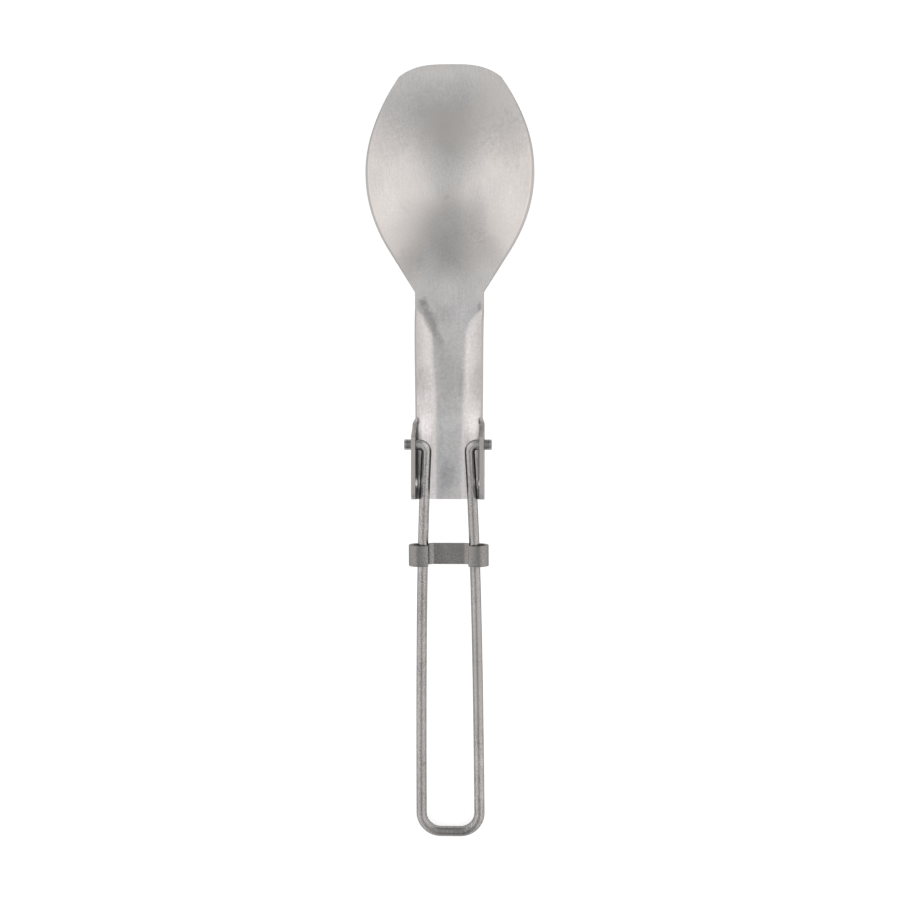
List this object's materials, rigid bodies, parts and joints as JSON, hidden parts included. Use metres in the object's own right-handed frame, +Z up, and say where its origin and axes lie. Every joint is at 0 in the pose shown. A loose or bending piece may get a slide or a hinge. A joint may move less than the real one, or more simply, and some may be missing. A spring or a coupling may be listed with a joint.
{
  "type": "folding camping spoon",
  "caption": "Folding camping spoon: a stamped titanium bowl and shank on a long wire loop that folds over the bowl and is locked by a sliding band.",
  "frame": {"origin": "on the ground, below the middle of the unfolded spoon's length", "axes": "+Y towards the tip of the bowl, +Z up out of the open side of the bowl, X across"},
  "size_m": [0.0366, 0.168, 0.015],
  "materials": {
    "brushed_titanium": "satin titanium sheet, brushed lengthwise, pale warm grey",
    "bare_wire": "bare titanium wire, dull grey with a fine grain",
    "dark_titanium": "matte dark grey titanium sheet"
  },
  "bodies": {
    "head": {"spoon_head": "brushed_titanium"},
    "handle": {"wire_handle": "bare_wire"},
    "slider": {"lock_slider": "dark_titanium"}
  },
  "joints": [
    {"name": "handle_fold", "type": "hinge", "parent": "head", "child": "handle", "pos_m": [0, 0.00157, 0.01246], "axis": [-1, 0, 0], "range_deg": [0, 185]},
    {"name": "slider_slide", "type": "slide", "parent": "handle", "child": "slider", "axis": [0, 0.9911, 0.1333], "range_m": [-0.0543, 0.0094]}
  ]
}
